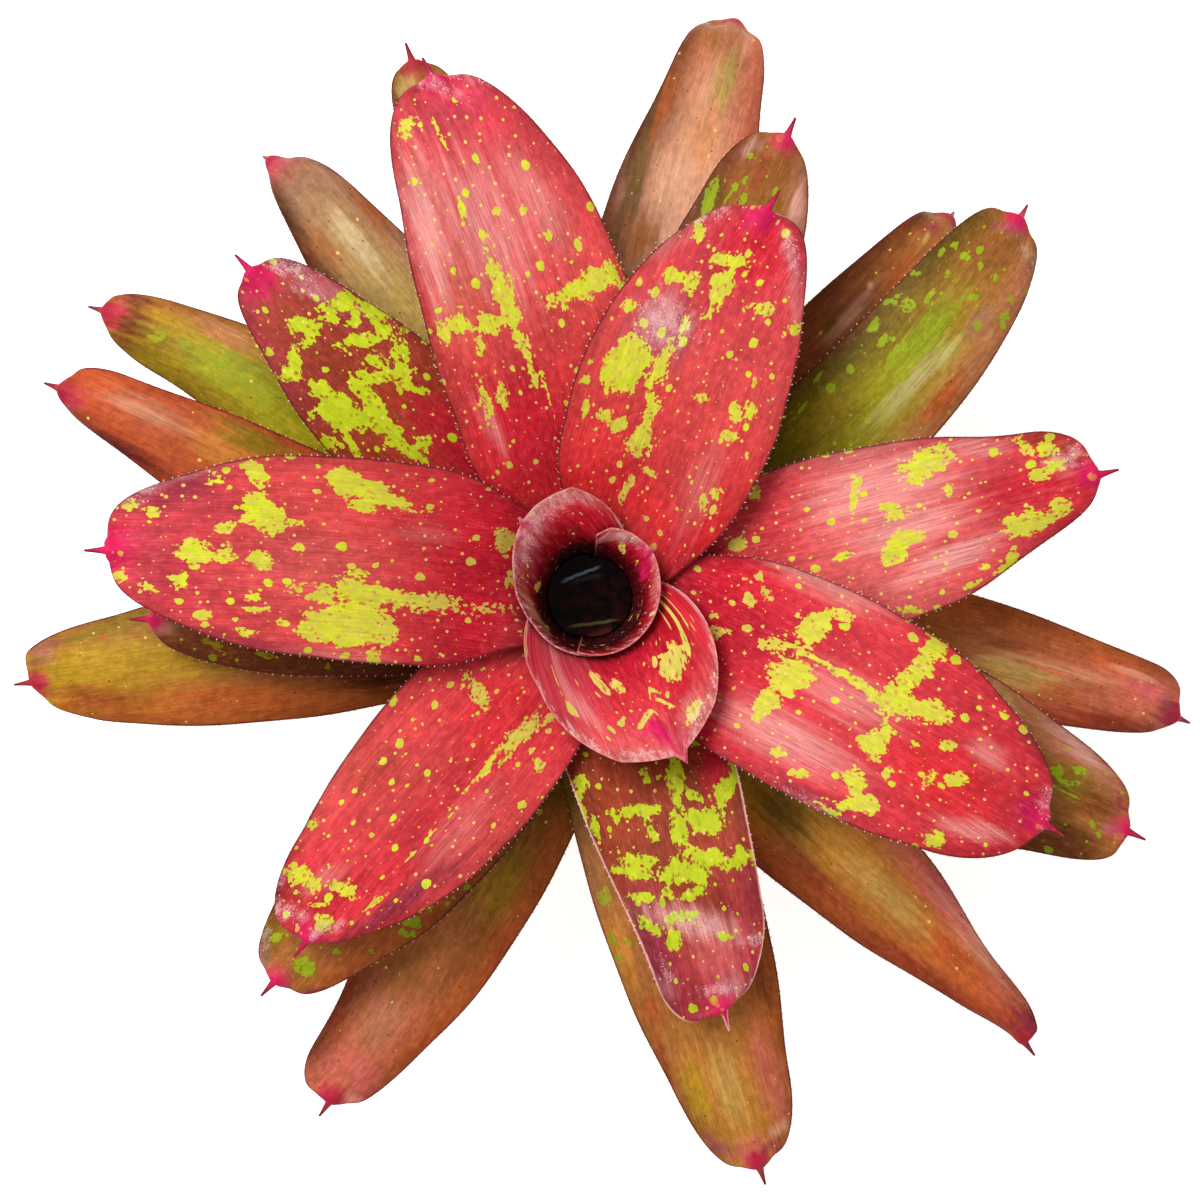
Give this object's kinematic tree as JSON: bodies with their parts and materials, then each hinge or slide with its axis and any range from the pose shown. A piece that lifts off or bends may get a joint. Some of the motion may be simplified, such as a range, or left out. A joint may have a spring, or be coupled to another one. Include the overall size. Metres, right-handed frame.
{
  "type": "neoregelia bromeliad",
  "caption": "Wide flat rosette of strap leaves with spined tips round a central cup of water, the inner ones red with yellow-green marbling, on a short cut stem.",
  "frame": {"origin": "centre of the flat cut at the base of the stem, on the rosette's axis", "axes": "+Z up the rosette's axis, the way the cup opens; seen from above with +X to the right and +Y up, the longest cup leaf points to azimuth 300 degrees and the longest leaf to 314 degrees"},
  "size_m": [0.4175, 0.4132, 0.1306],
  "materials": {
    "red_leaf": "leathery leaf, satin, crimson with yellow-lime blotches, cream dots and a magenta tip",
    "mottled_leaf": "leathery leaf, satin, olive brown with lime spots and a pink tip",
    "orange_leaf": "leathery leaf, satin, olive to orange red with small dark freckles and a pink tip",
    "brown_leaf": "leathery leaf, satin, dark red brown with a pink tip",
    "green_leaf": "leathery leaf, satin, lime green with brown edges and a pink tip",
    "water": "dark still water with a thin brown film",
    "stem": "fibrous brown stem with leaf scars, matt"
  },
  "bodies": {
    "root": {"cup_leaf_01": "red_leaf", "cup_leaf_02": "red_leaf", "cup_leaf_03": "red_leaf", "mottled_leaf_12": "mottled_leaf", "mottled_leaf_13": "mottled_leaf", "mottled_leaf_14": "mottled_leaf", "mottled_leaf_16": "mottled_leaf", "mottled_leaf_17": "mottled_leaf", "outer_leaf_15": "green_leaf", "outer_leaf_18": "orange_leaf", "outer_leaf_19": "orange_leaf", "outer_leaf_20": "brown_leaf", "outer_leaf_21": "orange_leaf", "outer_leaf_22": "brown_leaf", "outer_leaf_23": "brown_leaf", "outer_leaf_24": "orange_leaf", "outer_leaf_25": "brown_leaf", "outer_leaf_26": "green_leaf", "outer_leaf_27": "orange_leaf", "red_leaf_04": "red_leaf", "red_leaf_05": "red_leaf", "red_leaf_06": "red_leaf", "red_leaf_07": "red_leaf", "red_leaf_08": "red_leaf", "red_leaf_09": "red_leaf", "red_leaf_10": "red_leaf", "red_leaf_11": "red_leaf", "stem": "stem", "tank_water": "water"}
  },
  "joints": []
}
